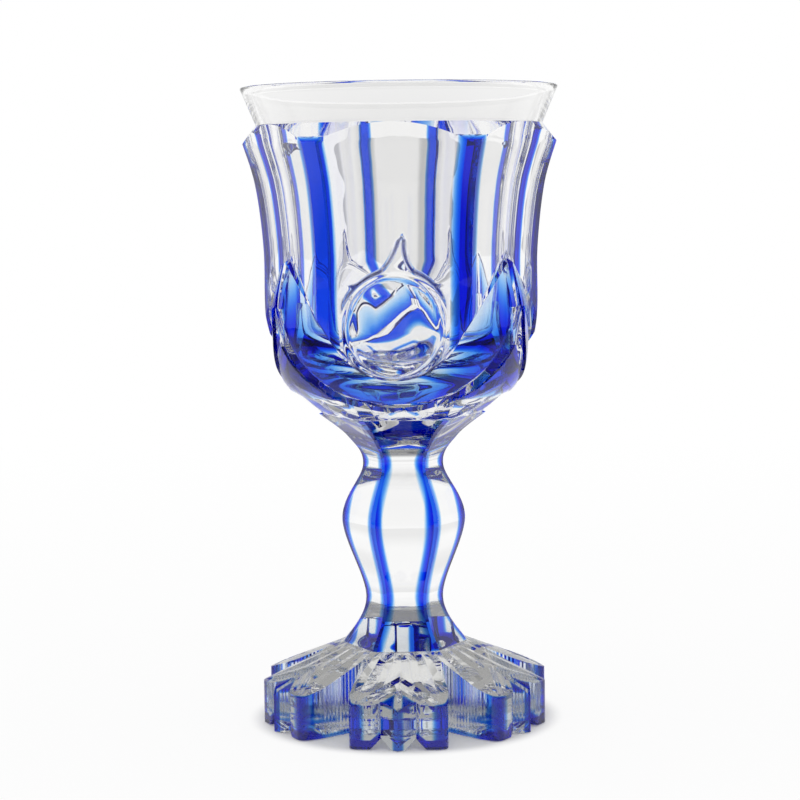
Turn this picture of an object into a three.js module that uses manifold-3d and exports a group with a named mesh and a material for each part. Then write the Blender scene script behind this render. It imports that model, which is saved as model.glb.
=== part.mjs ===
// Cut-glass goblet: clear crystal bowl, stem and foot, with the blue casing that the cutter left standing.
// Millimetres, +Z up. The origin is the centre of the foot's underside, and a medallion faces -Y.

import * as THREE from 'three';
import { mergeVertices } from 'three/addons/utils/BufferGeometryUtils.js';
import Module from 'manifold-3d';

const wasm = await Module();
wasm.setup();

// Casing and seams
const casing = 1.0; // thickness of the blue layer on the bowl and foot
const stemCasing = 0.5; // thickness of the blue layer on the stem
const seam = 0.3; // gap between pieces that are fused together
const mitreWidth = 0.9; // width of the cut between two islands of blue

// Foot
const footHeight = 20.1;
const footRadius = 38.0;
const footEdgeHeight = 11.0;
const footTopRadius = 16.2; // where the stem stands
const lobeHalfWidth = 12.4;
const columnFront = 36.2; // distance of a column's face from the axis
const columnRound = 2.2;
const toothHalfWidth = 4.1;
const toothNotchRadius = 34.2;
const lobeNotchRadius = 20.0; // deepest point of the cut between two lobes
const lobeNotchWallEnd = 30.0; // where the notch wall turns into the column's side
const footMitreDepth = 1.8;
const footMitreStart = 17.5; // where the cuts begin, from the axis
const footMitreSpread = 0.8; // how far the two cuts of a lobe stand from its middle there
const capWrap = 4.5; // how far the blue of an edge reaches in over the top
const capBottom = 0.7; // height of the clear bevel under the blue

// Stem, with heights above the foot
const stemHeight = 60.5;
const stemLowerNeckRadius = 10.1;
const stemLowerNeckHeight = 12.0;
const stemKnopRadius = 16.1;
const stemKnopHeight = 32.8;
const stemUpperNeckRadius = 10.5;
const stemUpperNeckHeight = 46.9;
const stemFlareRadius = 14.2;
const stemFlareHeight = 54.4;
const stemTopRadius = 21.7;
const stemFacetShare = 0.905; // flat's distance from the axis over the rib's radius
const stemTurn = 4.0; // degrees that the stem is turned against the bowl and foot

// Bowl, with heights above the stem
const bowlTurnRadius = 31.3;
const bowlTurnHeight = 9.5;
const bowlHipRadius = 35.1;
const bowlHipHeight = 24.0;
const bowlWaistRadius = 35.5;
const bowlWaistHeight = 43.0;
const bowlFlareRadius = 37.35;
const bowlFlareHeight = 59.2;
const shoulderRadius = 40.5;
const shoulderHeight = 70.1;
const rimBaseRadius = 36.9;
const shoulderRise = 4.6; // height of the chamfer between shoulder and rim
const rimRadius = 40.8;
const rimBandHeight = 9.7;
const rimWall = 2.4;
const bowlWall = 3.0; // at the middle of a panel
const cupFloorHeight = 9.0;
const panelShare = 0.89; // panel's distance from the axis over the rib's radius

// Medallions and swags, with heights above the stem
const medallionRadius = 13.7;
const medallionHeight = 24.5;
const medallionTipHeight = 46.0;
const medallionNeckAngle = 50.0; // degrees from the top where the circle turns into the tip
const medallionBendAcross = 1.6; // point that the tip's hollow sides bend towards
const medallionBendHeight = 38.9;
const printieRadius = 12.6;
const printieDepth = 3.0;
const swagLowHeight = 11.0; // lowest point of a swag's upper edge
const swagArcRadius = 20.0;
const swagArcAngle = 56.0; // degrees of arc before the edge runs straight up to the tip
const swagBottomHeight = 3.8; // lowest point of a swag's lower edge
const swagMitreHeight = 28.6; // where the mitre between two swags begins
const spandrelBottomHeight = 5.5;

const sides = 6;
const medallions = 3;
const bowlTurns = 36; // facets round a turned surface
const stemTurns = 24;
const footTurns = 36;
const far = 200; // reach of a cutting solid
const overlap = 0.5; // degrees by which joined sectors overlap
const flush = 0.05; // keeps a panel's top edge just outside the rim
const bowlBase = footHeight + stemHeight;
const rimBaseHeight = shoulderHeight + shoulderRise;
const bowlHeight = rimBaseHeight + rimBandHeight;

const crystal = { color: 0xe4e4e0, roughness: 0.04, metalness: 0 };
const cobalt = { color: 0x0a35c8, roughness: 0.05, metalness: 0 };
const radians = THREE.MathUtils.degToRad;

// A closed three.js geometry as a solid, with doubled vertices merged and flat triangles dropped.
function solid(geometry) {
  const bare = geometry.clone();
  bare.deleteAttribute('normal');
  bare.deleteAttribute('uv');
  const merged = mergeVertices(bare, 1e-4);
  const corners = merged.index.array;
  const triangles = [];
  for (let i = 0; i < corners.length; i += 3) {
    const [a, b, c] = corners.slice(i, i + 3);
    if (a !== b && b !== c && c !== a) triangles.push(a, b, c);
  }
  const vertProperties = new Float32Array(merged.attributes.position.array);
  const asDrawn = { numProp: 3, vertProperties, triVerts: new Uint32Array(triangles) };
  const made = new wasm.Manifold(new wasm.Mesh(asDrawn));
  if (made.volume() > 0) return made;
  const insideOut = { numProp: 3, vertProperties, triVerts: new Uint32Array(triangles.reverse()) };
  return new wasm.Manifold(new wasm.Mesh(insideOut));
}

// A solid turned about Z from a closed list of [radius, height] points.
function turned(points, turns) {
  const outline = points.map(([radius, height]) => new THREE.Vector2(radius, height));
  return solid(new THREE.LatheGeometry(outline, turns).rotateX(Math.PI / 2));
}

// A shape drawn as [across, height] and pushed along Y from one depth to another.
function pushed(shape, from, to) {
  const extrusion = { depth: to - from, bevelEnabled: false, curveSegments: 8 };
  return solid(new THREE.ExtrudeGeometry(shape, extrusion).rotateX(Math.PI / 2).translate(0, to, 0));
}

// A shape drawn in plan and raised from one height to another.
function raised(shape, low, high) {
  const extrusion = { depth: high - low, bevelEnabled: false, curveSegments: 3 };
  return solid(new THREE.ExtrudeGeometry(shape, extrusion).translate(0, 0, low));
}

function polygon(points) {
  return new THREE.Shape(points.map(([across, height]) => new THREE.Vector2(across, height)));
}

// A solid turned by some degrees about Z, anticlockwise from above.
function spun(body, degrees) {
  return body.rotate([0, 0, degrees]);
}

// The slice of space within an angle to each side of the -Y direction.
function slice(halfAngle) {
  const reach = far * Math.tan(radians(halfAngle));
  return raised(polygon([[0, 0], [-reach, -far], [reach, -far]]), -far, far);
}

function above(height) {
  return solid(new THREE.BoxGeometry(far, far, far).translate(0, 0, height + far / 2));
}

// A smooth list of [radius, height] points through a few stations.
function smoothProfile(stations, steps) {
  const curve = new THREE.SplineCurve(stations.map(([radius, height]) => new THREE.Vector2(radius, height)));
  return curve.getPoints(steps).map((point) => [point.x, point.y]);
}

// Radius of a profile at a height, by straight steps between its points.
function radiusAt(profile, height) {
  const next = profile.findIndex(([, top], i) => i > 0 && top >= height);
  const [lowRadius, low] = profile[next - 1];
  const [highRadius, high] = profile[next];
  return lowRadius + ((highRadius - lowRadius) * (height - low)) / (high - low);
}

// A six-sided body from the flats' [distance, height] points, with a flat facing -Y.
function sixSided(flats) {
  const mirrored = flats.map(([across, height]) => [-across, height]).reverse();
  const pair = spun(pushed(polygon([...flats, ...mirrored]), -far, far), 90);
  return pair.intersect(spun(pair, 60)).intersect(spun(pair, 120));
}

// A profile moved towards the axis.
function inset(profile, by) {
  return profile.map(([radius, height]) => [radius - by, height]);
}

// A profile closed to the axis at both ends.
function closed(profile) {
  return [[0, profile[0][1]], ...profile, [0, profile.at(-1)[1]]];
}

const goblet = new THREE.Group();

// A finished piece as a named mesh in its own material, at a height and a turn about Z.
function addPiece(name, body, finish, height = 0, turn = 0) {
  const made = body.getMesh();
  const geometry = new THREE.BufferGeometry();
  geometry.setAttribute('position', new THREE.BufferAttribute(made.vertProperties, 3));
  geometry.setIndex(new THREE.BufferAttribute(made.triVerts, 1));
  geometry.computeVertexNormals();
  const mesh = new THREE.Mesh(geometry, new THREE.MeshStandardMaterial(finish));
  mesh.name = name;
  mesh.position.z = height;
  mesh.rotation.z = radians(turn);
  goblet.add(mesh);
}

// Foot in plan: each lobe ends in two columns with a pointed tooth between them.
function footOutline() {
  const outline = new THREE.Shape();
  for (let lobe = 0; lobe < sides; lobe += 1) {
    const angle = (lobe * 2 * Math.PI) / sides;
    const at = (across, out) => [
      across * Math.cos(angle) + out * Math.sin(angle),
      across * Math.sin(angle) - out * Math.cos(angle),
    ];
    const halfLobe = Math.PI / sides;
    const notch = at(-lobeNotchRadius * Math.sin(halfLobe), lobeNotchRadius * Math.cos(halfLobe));
    const round = columnFront - columnRound;
    if (lobe === 0) outline.moveTo(...notch);
    else outline.lineTo(...notch);
    outline.lineTo(...at(-lobeHalfWidth, lobeNotchWallEnd));
    outline.lineTo(...at(-lobeHalfWidth, round));
    const outer = lobeHalfWidth - columnRound;
    const inner = toothHalfWidth + columnRound;
    outline.quadraticCurveTo(...at(-lobeHalfWidth, columnFront), ...at(-outer, columnFront));
    outline.lineTo(...at(-inner, columnFront));
    outline.quadraticCurveTo(...at(-toothHalfWidth, columnFront), ...at(-toothHalfWidth, toothNotchRadius));
    outline.lineTo(...at(0, footRadius));
    outline.lineTo(...at(toothHalfWidth, toothNotchRadius));
    outline.quadraticCurveTo(...at(toothHalfWidth, columnFront), ...at(inner, columnFront));
    outline.lineTo(...at(outer, columnFront));
    outline.quadraticCurveTo(...at(lobeHalfWidth, columnFront), ...at(lobeHalfWidth, round));
    outline.lineTo(...at(lobeHalfWidth, lobeNotchWallEnd));
  }
  outline.closePath();
  return outline;
}

// A V-shaped cut between two points, as deep as its half width.
function mitre(from, to, depth) {
  const start = new THREE.Vector3(...from);
  const run = new THREE.Vector3(...to).sub(start);
  const length = run.length();
  const turn = new THREE.Quaternion().setFromUnitVectors(new THREE.Vector3(0, 1, 0), run.normalize());
  const bar = new THREE.CylinderGeometry(depth, depth, length, 4).translate(0, length / 2, 0);
  return solid(bar.applyQuaternion(turn).translate(...from));
}

function makeFoot() {
  const slope = (footHeight - footEdgeHeight) / (footRadius - footTopRadius);
  const top = (radius) => footHeight - slope * (radius - footTopRadius);
  const blank = raised(footOutline(), 0, footHeight);
  const core = footRadius - casing - seam;
  const wrapStart = footRadius - capWrap;
  const clear = turned([
    [0, 0], [footRadius, 0], [footRadius, capBottom - seam], [core, capBottom - seam],
    [core, top(core) - casing - seam], [wrapStart - seam, top(wrapStart) - casing - seam],
    [wrapStart - seam, top(wrapStart)], [footTopRadius, footHeight - seam], [0, footHeight - seam],
  ], footTurns);
  const layer = turned([
    [footRadius, capBottom], [footRadius, footEdgeHeight], [wrapStart, top(wrapStart)],
    [wrapStart, top(wrapStart) - casing], [core + seam, top(core) - casing],
    [core + seam, capBottom], [footRadius, capBottom],
  ], footTurns);
  let cuts = null;
  for (let lobe = 0; lobe < sides; lobe += 1) {
    for (const side of [-1, 1]) {
      const outer = [side * toothHalfWidth, -footRadius, top(footRadius)];
      const inner = [side * footMitreSpread, -footMitreStart, top(footMitreStart)];
      const cut = spun(mitre(outer, inner, footMitreDepth), lobe * 60);
      cuts = cuts ? cuts.add(cut) : cut;
    }
  }
  addPiece('foot', blank.intersect(clear).subtract(cuts), crystal);

  const caps = blank.intersect(layer).subtract(cuts);
  const toothSlice = raised(polygon([
    [-toothHalfWidth, -far], [toothHalfWidth, -far], [toothHalfWidth, 0], [-toothHalfWidth, 0],
  ]), -far, far);
  const besideTooth = toothHalfWidth + seam;
  const columnSlice = raised(polygon([
    [besideTooth, -far], [far, -far], [far, -footTopRadius], [besideTooth, -footTopRadius],
  ]), -far, far).intersect(slice(30));
  const mirrorSlice = columnSlice.scale([-1, 1, 1]);
  for (let lobe = 0; lobe < sides; lobe += 1) {
    addPiece(`foot_tooth_${lobe + 1}`, caps.intersect(spun(toothSlice, lobe * 60)), cobalt);
    addPiece(`foot_corner_${2 * lobe + 1}`, caps.intersect(spun(mirrorSlice, lobe * 60)), cobalt);
    addPiece(`foot_corner_${2 * lobe + 2}`, caps.intersect(spun(columnSlice, lobe * 60)), cobalt);
  }
}

function makeStem() {
  const profile = smoothProfile([
    [footTopRadius, 0],
    [stemLowerNeckRadius, stemLowerNeckHeight],
    [stemKnopRadius, stemKnopHeight],
    [stemUpperNeckRadius, stemUpperNeckHeight],
    [stemFlareRadius, stemFlareHeight],
    [stemTopRadius, stemHeight - seam],
  ], 18);
  const facets = sixSided(profile.map(([radius, height]) => [radius * stemFacetShare, height]));
  const clear = turned(closed(inset(profile, stemCasing + seam)), stemTurns);
  const core = turned(closed(inset(profile, stemCasing)), stemTurns);
  const layer = turned(closed(profile), stemTurns).subtract(core);
  addPiece('stem', facets.intersect(clear), crystal, footHeight, stemTurn);
  const ribs = facets.intersect(layer);
  for (let rib = 0; rib < sides; rib += 1) {
    const one = ribs.intersect(spun(slice(25), 30 + rib * 60));
    addPiece(`stem_rib_${rib + 1}`, one, cobalt, footHeight, stemTurn);
  }
}

// Upper edge of a swag as [across, height] points: an arc under the medallion, then straight to the tips.
function swagTop(lift) {
  const points = [];
  const arcSteps = 8;
  const centre = swagLowHeight + swagArcRadius;
  const reach = shoulderRadius;
  const end = radians(swagArcAngle);
  for (let step = -arcSteps; step <= arcSteps; step += 1) {
    const angle = (step / arcSteps) * end;
    points.push([swagArcRadius * Math.sin(angle), centre + lift - swagArcRadius * Math.cos(angle)]);
  }
  const [edge, height] = points.at(-1);
  const tip = height + (reach - edge) * Math.tan(end);
  return [[-reach, tip], ...points, [reach, tip]];
}

// Lower edge of a swag: half an ellipse that ends upright where two swags meet.
function swagBottom(halfWidth, drop) {
  const points = [];
  const steps = 12;
  for (let step = 0; step <= steps; step += 1) {
    const angle = Math.PI * (step / steps - 1);
    const height = swagMitreHeight + (swagMitreHeight - swagBottomHeight + drop) * Math.sin(angle);
    points.push([(halfWidth + drop) * Math.cos(angle), height]);
  }
  return points;
}

// Medallion as seen from outside: a circle that draws up to a pointed tip.
function medallionOutline() {
  const neck = radians(medallionNeckAngle);
  const across = medallionRadius * Math.sin(neck);
  const height = medallionHeight + medallionRadius * Math.cos(neck);
  const outline = new THREE.Shape();
  outline.moveTo(0, medallionTipHeight);
  outline.quadraticCurveTo(-medallionBendAcross, medallionBendHeight, -across, height);
  outline.absarc(0, medallionHeight, medallionRadius, Math.PI / 2 + neck, Math.PI * 2.5 - neck, false);
  outline.quadraticCurveTo(medallionBendAcross, medallionBendHeight, 0, medallionTipHeight);
  return outline;
}

// Hollow lens cut into a medallion, round as seen from outside although the bowl is round in plan.
function printie(clearRadius) {
  const floor = clearRadius - printieDepth;
  const edge = Math.sqrt(clearRadius ** 2 - printieRadius ** 2);
  const depth = printieRadius;
  const across = printieRadius * Math.sqrt(depth / (2 * (edge - floor)));
  const upright = printieRadius * Math.sqrt(depth / (2 * printieDepth));
  const lens = new THREE.SphereGeometry(1, 24, 14).scale(across, depth, upright);
  return solid(lens.translate(0, -floor - depth, medallionHeight));
}

function makeBowl() {
  const blank = smoothProfile([
    [stemTopRadius, 0],
    [bowlTurnRadius, bowlTurnHeight],
    [bowlHipRadius, bowlHipHeight],
    [bowlWaistRadius, bowlWaistHeight],
    [bowlFlareRadius, bowlFlareHeight],
    [shoulderRadius, shoulderHeight],
  ], 14);
  const chamfer = (rimBaseHeight - shoulderHeight) / (shoulderRadius - rimBaseRadius);
  const shoulderAt = (radius) => [radius, shoulderHeight + (shoulderRadius - radius) * chamfer];

  const panel = (height) => panelShare * radiusAt(blank, height);
  const cupCorner = panel(bowlHipHeight) - bowlWall;
  const cupSide = [bowlHipHeight, bowlWaistHeight, bowlFlareHeight, shoulderHeight];
  const cup = cupSide.map((height) => [panel(height) - bowlWall, height]);
  const cornerSteps = 7;
  const corner = [];
  for (let step = 0; step < cornerSteps; step += 1) {
    const angle = (step / cornerSteps) * (Math.PI / 2);
    const height = bowlHipHeight - (bowlHipHeight - cupFloorHeight) * Math.cos(angle);
    corner.push([cupCorner * Math.sin(angle), height]);
  }
  const mouth = [[rimBaseRadius - rimWall, rimBaseHeight], [rimRadius - rimWall, bowlHeight]];
  const inside = [...corner, ...cup, ...mouth];
  const outside = [
    ...inset(blank, casing + seam),
    shoulderAt(shoulderRadius - casing - seam),
    [rimBaseRadius, rimBaseHeight],
    [rimRadius, bowlHeight],
  ];
  const gather = turned([[0, 0], ...outside, ...inside.reverse()], bowlTurns);

  const layer = turned([
    ...blank, shoulderAt(shoulderRadius - casing), ...inset(blank, casing).reverse(), blank[0],
  ], bowlTurns);

  const panels = sixSided([
    ...blank.map(([radius, height]) => [radius * panelShare, height]),
    [rimBaseRadius + flush, rimBaseHeight],
    [far, rimBaseHeight],
    [far, bowlHeight],
  ]);
  const third = slice(60 + overlap);
  const gapAngle = THREE.MathUtils.radToDeg(mitreWidth / 2 / bowlHipRadius);
  const underSwagTop = (lift) => {
    const floor = -far / 4;
    return pushed(polygon([...swagTop(lift), [shoulderRadius, floor], [-shoulderRadius, floor]]), -far, 0);
  };
  const aboveSwagBottom = (drop) => {
    const halfWidth = bowlHipRadius * Math.sin(radians(60));
    const wide = drop ? halfWidth + drop : shoulderRadius;
    const right = [[wide, swagMitreHeight], [wide, bowlHeight]];
    const left = [[-wide, bowlHeight], [-wide, swagMitreHeight]];
    return pushed(polygon([...swagBottom(halfWidth, drop), ...right, ...left]), -far, 0);
  };

  const kept = underSwagTop(0).intersect(third);
  const cutBack = underSwagTop(mitreWidth).intersect(third);
  const boss = pushed(medallionOutline(), -far, 0);
  const lens = printie(radiusAt(blank, medallionHeight) - casing - seam);
  const band = underSwagTop(0).intersect(aboveSwagBottom(0));
  const swag = layer.intersect(band).intersect(slice(60 - gapAngle));
  const spandrelSlice = layer.intersect(spun(slice(50), 60)).intersect(above(spandrelBottomHeight));
  const hollow = aboveSwagBottom(mitreWidth);
  const lowered = spandrelSlice.subtract(above(swagMitreHeight));
  const spandrel = lowered.subtract(hollow).subtract(spun(hollow, 120));

  let standing = panels;
  let ribs = layer.intersect(panels);
  for (let k = 0; k < medallions; k += 1) {
    standing = standing.add(spun(kept, k * 120)).add(spun(boss, k * 120));
    ribs = ribs.subtract(spun(cutBack, k * 120));
  }
  let bowl = gather.intersect(standing);
  for (let k = 0; k < medallions; k += 1) bowl = bowl.subtract(spun(lens, k * 120));
  addPiece('bowl', bowl, crystal, bowlBase);
  for (let rib = 0; rib < sides; rib += 1) {
    addPiece(`bowl_rib_${rib + 1}`, ribs.intersect(spun(slice(25), 30 + rib * 60)), cobalt, bowlBase);
  }
  for (let k = 0; k < medallions; k += 1) {
    addPiece(`bowl_swag_${k + 1}`, spun(swag, k * 120), cobalt, bowlBase);
    addPiece(`bowl_spandrel_${k + 1}`, spun(spandrel, k * 120), cobalt, bowlBase);
  }
}

makeFoot();
makeStem();
makeBowl();

export default goblet;
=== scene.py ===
"""Cut-glass goblet: clear crystal with the blue casing that the cutter left standing. Metres, +Z up."""

import bpy
import numpy as np
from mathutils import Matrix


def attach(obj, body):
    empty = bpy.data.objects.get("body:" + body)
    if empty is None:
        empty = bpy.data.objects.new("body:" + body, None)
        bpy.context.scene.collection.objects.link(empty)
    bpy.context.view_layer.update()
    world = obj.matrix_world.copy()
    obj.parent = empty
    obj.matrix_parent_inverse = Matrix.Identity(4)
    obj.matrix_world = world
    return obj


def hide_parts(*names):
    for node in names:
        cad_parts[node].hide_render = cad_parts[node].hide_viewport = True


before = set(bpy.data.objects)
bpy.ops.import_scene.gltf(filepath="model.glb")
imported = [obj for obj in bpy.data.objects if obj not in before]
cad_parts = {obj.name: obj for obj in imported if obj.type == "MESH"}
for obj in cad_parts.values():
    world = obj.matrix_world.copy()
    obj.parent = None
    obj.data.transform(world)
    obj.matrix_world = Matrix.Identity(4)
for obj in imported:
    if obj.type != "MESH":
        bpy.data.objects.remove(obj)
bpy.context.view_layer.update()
scene = bpy.context.scene

# Foot
# A six-lobed foot of clear crystal, pressed hot against the stem. Each lobe is ground to two columns with a
# pointed tooth between them. Its top is cut with a fan round the stem, chevrons and a mitre along the tooth.
foot_height = 0.0201
foot_radius = 0.0380
foot_edge_height = 0.0110
foot_top_radius = 0.0162
foot_casing = 0.0010
lobe_half_width = 0.0124
column_front = 0.0362
column_round = 0.0026
tooth_half_width = 0.0044
tooth_notch = 0.0350
tooth_notch_round = 0.0006
lobe_notch = 0.0200
notch_wall_end = 0.0300
notch_reeds = 0.00011
notch_roughness = 0.16
reed_points, flat_points, round_points, tooth_points = 24, 8, 14, 16
foot_bevel = 0.0003
chevron_lines = np.array([0.0254, 0.0260, 0.0265, 0.0271, 0.0276, 0.0294, 0.0301, 0.0314])
chevron_depths = np.array([0, 0.00030, 0, 0.00030, 0, 0.00046, 0.00002, 0])
chevron_lean = 0.88
chevron_margin, chevron_margin_run = 0.0006, 0.0010
least_chevron_spread = 0.1
least_row_gap = 0.00001
fan_mitres, fan_depth = 30, 0.0004
fan_start_run, fan_end_run = 0.0020, 0.0030
tooth_mitre_start, tooth_mitre_depth, tooth_mitre_slope = 0.0262, 0.0012, 0.7
scallop_depth, scallop_half_width = 0.0026, 0.0026
scallop_start, scallop_run = 0.020, 0.014
foot_hollow, foot_hollow_radius, foot_hollow_run = 0.0005, 0.0140, 0.0030
casing_film = 0.00003
chevron_casing_run, mitre_casing_run = 0.0005, 0.0008
corner_casing = 0.0011
corner_across, corner_across_run = 0.0082, 0.0026
corner_out, corner_out_run = 0.0316, 0.0025
ridge_casing, ridge_half_width, ridge_run = 0.0007, 0.0016, 0.0010
column_run = 0.0012
notch_side_out, notch_side_run = 0.0310, 0.0030
low_band_height, low_band_height_loss, low_band_run = 0.0021, 0.0009, 0.0006
low_band_casing, low_band_casing_loss = 0.0036, 0.0018
cap_start, cap_start_run = 0.0215, 0.0030
least_cap_width = 0.0006
cap_top_rows, cap_wall_rows, cap_wall_crowding = 9, 13, 1.8
fan_rows = 10
under_shares = np.array([0.985, 0.94, 0.88, 0.8, 0.7, 0.6, 0.5, 0.4, 0.3, 0.2, 0.1, 0.03])
glass_index = 1.53
crisp_turn = np.radians(16.0)
stem_turn = np.radians(4.0)
stem_facet_share = 0.885
sixth = np.pi / 3


def set_inputs(node, values):
    """Sets a node's inputs: numbers and colours go on the sockets, and other nodes' outputs are linked."""
    for socket, value in values.items():
        if isinstance(value, (int, float, tuple)):
            node.inputs[socket].default_value = value
        else:
            node.id_data.links.new(value, node.inputs[socket])


def add_node(tree, kind, values, **settings):
    """The outputs of a new shader node with these inputs and settings."""
    made = tree.nodes.new("ShaderNode" + kind)
    for name, value in settings.items():
        setattr(made, name, value)
    set_inputs(made, values)
    return made.outputs


def math_node(tree, operation, *values):
    """The result of a calculation on numbers or other nodes' outputs."""
    return add_node(tree, "Math", dict(enumerate(values)), operation=operation)["Value"]


def marked_value(tree, mark):
    """The value with which a piece's own faces or points are marked."""
    return add_node(tree, "Attribute", {}, attribute_name=mark)["Fac"]


def polished_glass(name, tint, depth_colour, density):
    """Smooth refracting glass that takes out light with depth. Its index of refraction is that of glass on
    free faces, and 1 on faces that are fused to a neighbour, where there is no surface to bend the light."""
    made = bpy.data.materials.new(name)
    made.use_nodes = True
    tree = made.node_tree
    shader = tree.nodes["Principled BSDF"]
    set_inputs(shader, {
        "Base Color": tint, "Roughness": 0.0, "Transmission Weight": 1.0, "IOR": glass_index})
    index = math_node(tree, "MULTIPLY_ADD", marked_value(tree, "fused"), 1.0 - glass_index, glass_index)
    set_inputs(shader, {"IOR": index})
    depth = add_node(tree, "VolumeAbsorption", {"Color": depth_colour, "Density": density})
    set_inputs(tree.nodes["Material Output"], {"Volume": depth["Volume"]})
    return made


def crystal_glass(name, tint, grey_and_shade, wave_scale=160.0, wave_height=0.00002):
    """Clear lead crystal: polished glass that turns grey with depth, partly its own faint tint and partly
    painted shade for the grey that the glass shows, and keeps faint waves from the wheel.
    """
    # The grey taken out with depth is partly the crystal's own tint and partly painted shade.
    made = polished_glass(name, tint, depth_colour=(0.500, 0.505, 0.470, 1), density=grey_and_shade)
    tree = made.node_tree
    place = add_node(tree, "TexCoord", {})["Object"]
    waves = add_node(tree, "TexNoise", {"Vector": place, "Scale": wave_scale, "Detail": 1.0})
    bump = add_node(tree, "Bump", {"Strength": 1.0, "Distance": wave_height, "Height": waves["Fac"]})
    set_inputs(tree.nodes["Principled BSDF"], {"Normal": bump["Normal"]})
    return made


def glass_piece(node, points, triangles, fused, material, crisp=None, ground=None):
    """A closed mesh from points and triangles, as the piece that stands for a CAD node. Its fused faces and
    its ground ones are marked for the material. An edge stays crisp where its two points share a crisp number
    or, where there are no such numbers, where it turns by more than a small angle."""
    mesh = bpy.data.meshes.new(node)
    mesh.from_pydata(points, [], triangles.tolist())
    mesh.materials.append(material)
    marked = mesh.attributes.new("fused", "FLOAT", "FACE")
    marked.data.foreach_set("value", np.asarray(fused, np.float32))
    if ground is not None:
        finish = mesh.attributes.new("ground", "FLOAT", "FACE")
        finish.data.foreach_set("value", np.asarray(ground * notch_roughness, np.float32))
    mesh.polygons.foreach_set("use_smooth", np.ones(len(triangles), bool))
    mesh.update()
    if crisp is None:
        mesh.set_sharp_from_angle(angle=crisp_turn)
    else:
        ends = np.empty(len(mesh.edges) * 2, np.int32)
        mesh.edges.foreach_get("vertices", ends)
        low, high = crisp[ends.reshape(-1, 2)].transpose(1, 0, 2)
        sharp = ((low == high) & (low > 0)).any(1)
        mesh.attributes.new("sharp_edge", "BOOLEAN", "EDGE").data.foreach_set("value", sharp)
    piece = bpy.data.objects.new("glass_" + node, mesh)
    scene.collection.objects.link(piece)
    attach(piece, "root")
    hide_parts(node)
    return piece


def ring_triangles(rows, columns):
    """Triangles of a grid whose columns close on themselves."""
    index = np.arange(rows * columns).reshape(rows, columns)
    a = index[:-1]
    b = np.roll(a, -1, 1)
    d = index[1:]
    c = np.roll(d, -1, 1)
    return np.stack([np.stack([a, b, c], -1), np.stack([a, c, d], -1)], 2).reshape(-1, 3)


def closed_ends(points, triangles):
    """Adds a middle point to each end of a ring grid and closes the ends with fans."""
    rows, columns = points.shape[:2]
    middles = np.stack([points[0].mean(0), points[-1].mean(0)])
    flat = np.concatenate([points.reshape(-1, 3), middles])
    first = np.arange(columns)
    last = first + (rows - 1) * columns
    low = np.stack([np.full(columns, rows * columns), np.roll(first, -1), first], 1)
    high = np.stack([np.full(columns, rows * columns + 1), last, np.roll(last, -1)], 1)
    return flat, np.concatenate([triangles, low, high])


def ring_piece(node, grid, fused, fused_ends, material, winding=1, crisp=None):
    """A piece from a grid of points whose columns close on themselves and whose two ends are closed. fused
    and fused_ends mark the faces and ends that meet other glass. A winding of -1 turns the faces round."""
    rows, columns = grid.shape[:2]
    fused = np.repeat(np.broadcast_to(fused, (rows - 1, columns)).ravel(), 2)
    fused = np.concatenate([fused, np.repeat(fused_ends, columns)])
    points, triangles = closed_ends(grid, ring_triangles(rows, columns))
    return glass_piece(node, points, triangles[:, ::winding], fused, material, crisp)


def standing(angle, radius, height):
    """Points at an angle round from the front (-Y), a radius and a height."""
    return np.stack(np.broadcast_arrays(radius * np.sin(angle), -radius * np.cos(angle), height), -1)


def bezier(start, bend, end, steps):
    """Quadratic curve from start to end that leans towards bend."""
    t = np.linspace(0, 1, steps, endpoint=False)[:, None]
    return (1 - t) ** 2 * start + 2 * t * (1 - t) * bend + t ** 2 * end


def straight(start, end, steps):
    """Even points from start up to, but not including, end."""
    t = np.linspace(0, 1, steps, endpoint=False)[:, None]
    return start + (end - start) * t


def smooth_rise(share):
    """0 below 0 and 1 above 1, with a smooth rise between."""
    share = np.clip(share, 0, 1)
    return share * share * (3 - 2 * share)


def within(angle, step):
    """Angle from the nearest multiple of a step."""
    return angle - step * np.round(angle / step)


def half_lobe():
    """Half of a lobe in plan, as (across, out) points from its notch up to the tip of its tooth."""
    notch = lobe_notch * np.array([np.sin(sixth / 2), np.cos(sixth / 2)])
    wall = np.array([lobe_half_width, notch_wall_end])
    side = np.array([lobe_half_width, column_front - column_round])
    corner = np.array([lobe_half_width, column_front])
    outer = np.array([lobe_half_width - column_round, column_front])
    inner = np.array([tooth_half_width + column_round, column_front])
    turn = np.array([tooth_half_width + tooth_notch_round, column_front])
    valley = np.array([tooth_half_width, tooth_notch])
    tip = np.array([0, foot_radius])
    reeded = straight(notch, wall, reed_points)
    reeded[1::2, 0] += notch_reeds
    return np.concatenate([
        reeded, straight(wall, side, flat_points), bezier(side, corner, outer, round_points),
        straight(outer, inner, flat_points), bezier(inner, turn, valley, round_points),
        straight(valley, tip, tooth_points), [tip],
    ])


def lobed_outline():
    """The whole foot in plan: the half lobe, its mirror image, and six turns of both, anticlockwise."""
    right = half_lobe()
    lobe = np.concatenate([right * (-1, 1), right[-2:0:-1]])
    angle = np.arange(6)[:, None] * sixth
    x = lobe[:, 0] * np.cos(angle) + lobe[:, 1] * np.sin(angle)
    y = lobe[:, 0] * np.sin(angle) - lobe[:, 1] * np.cos(angle)
    return np.stack([x.ravel(), y.ravel()], 1)


def reach_at(angle):
    """Radius of the outline at an angle."""
    half = half_lobe()[::-1]
    return np.interp(np.abs(within(angle, sixth)), np.arctan2(half[:, 0], half[:, 1]), np.hypot(*half.T))


def lobe_place(angle, radius):
    """Place on the nearest lobe: distance from its middle line and distance out along that line."""
    turn = within(angle, sixth)
    return np.abs(radius * np.sin(turn)), radius * np.cos(turn)


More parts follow.
